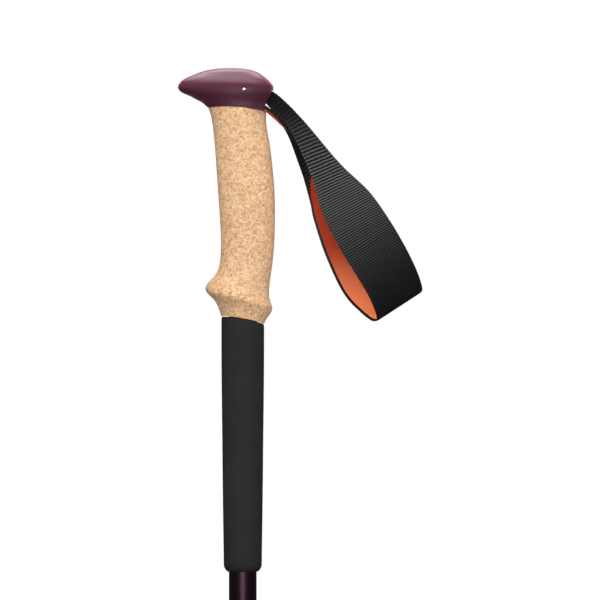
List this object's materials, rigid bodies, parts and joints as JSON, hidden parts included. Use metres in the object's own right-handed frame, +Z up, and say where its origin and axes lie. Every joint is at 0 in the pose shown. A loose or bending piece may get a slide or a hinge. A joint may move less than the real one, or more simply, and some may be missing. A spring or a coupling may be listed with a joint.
{
  "type": "trekking pole",
  "caption": "Telescoping trekking pole with a beaked cork grip, foam lower grip, wrist strap loop, lever clamps and a basket at its tip.",
  "frame": {"origin": "centre of the carbide tip's flat end, on the pole's axis", "axes": "+Z up along the pole's axis towards the head; -X the way the head's beak points; +X the side where the strap leaves the head; the cross pin in the head lies along Y"},
  "size_m": [0.1598, 0.045, 0.62],
  "materials": {
    "plum_plastic": "satin moulded plum plastic",
    "black_plastic": "fine matt black moulding",
    "cork": "sanded agglomerated cork",
    "foam": "black closed-cell foam",
    "webbing": "ribbed black woven webbing",
    "lining": "brushed orange lining",
    "anodised_tube": "dark plum anodised",
    "steel": "bright machined steel",
    "brass": "stamped brass",
    "carbide": "sintered carbide"
  },
  "bodies": {
    "handle": {"grip_head": "plum_plastic", "grip_core": "black_plastic", "cork_grip": "cork", "foam_grip": "foam", "strap_anchor": "webbing", "strap_wedge": "black_plastic", "strap_pin": "steel", "upper_tube": "anodised_tube", "upper_clamp_collar": "black_plastic", "upper_clamp_pin": "steel", "upper_clamp_plate": "brass"},
    "strap": {"strap_webbing": "webbing", "strap_lining": "lining"},
    "upper_lever": {"upper_clamp_lever": "plum_plastic"},
    "upper_screw": {"upper_clamp_screw": "steel"},
    "middle_section": {"middle_tube": "anodised_tube", "middle_tube_bush": "black_plastic", "lower_clamp_collar": "black_plastic", "lower_clamp_pin": "steel", "lower_clamp_plate": "brass"},
    "lower_lever": {"lower_clamp_lever": "plum_plastic"},
    "lower_screw": {"lower_clamp_screw": "steel"},
    "lower_section": {"lower_tube": "anodised_tube", "lower_tube_bush": "black_plastic", "tip_ferrule": "black_plastic", "basket": "black_plastic", "tip_holder": "steel", "carbide_tip": "carbide"}
  },
  "joints": [
    {"name": "strap_swing", "type": "hinge", "parent": "handle", "child": "strap", "pos_m": [0.0202, 0, 0.5937], "axis": [0, -1, 0], "range_deg": [-15, 35]},
    {"name": "upper_lever_swing", "type": "hinge", "parent": "handle", "child": "upper_lever", "pos_m": [0.0157, -0.0117, 0.155], "axis": [0, 0, 1], "range_deg": [0, 120]},
    {"name": "upper_screw_turn", "type": "hinge", "parent": "handle", "child": "upper_screw", "pos_m": [0.0157, 0, 0.155], "axis": [0, 1, 0], "continuous": true},
    {"name": "middle_slide", "type": "slide", "parent": "handle", "child": "middle_section", "axis": [0, 0, -1], "range_m": [0, 0.32]},
    {"name": "lower_lever_swing", "type": "hinge", "parent": "middle_section", "child": "lower_lever", "pos_m": [0.0147, -0.0117, 0.109], "axis": [0, 0, 1], "range_deg": [0, 120]},
    {"name": "lower_screw_turn", "type": "hinge", "parent": "middle_section", "child": "lower_screw", "pos_m": [0.0147, 0, 0.109], "axis": [0, 1, 0], "continuous": true},
    {"name": "lower_slide", "type": "slide", "parent": "middle_section", "child": "lower_section", "axis": [0, 0, -1], "range_m": [0, 0.32]}
  ]
}
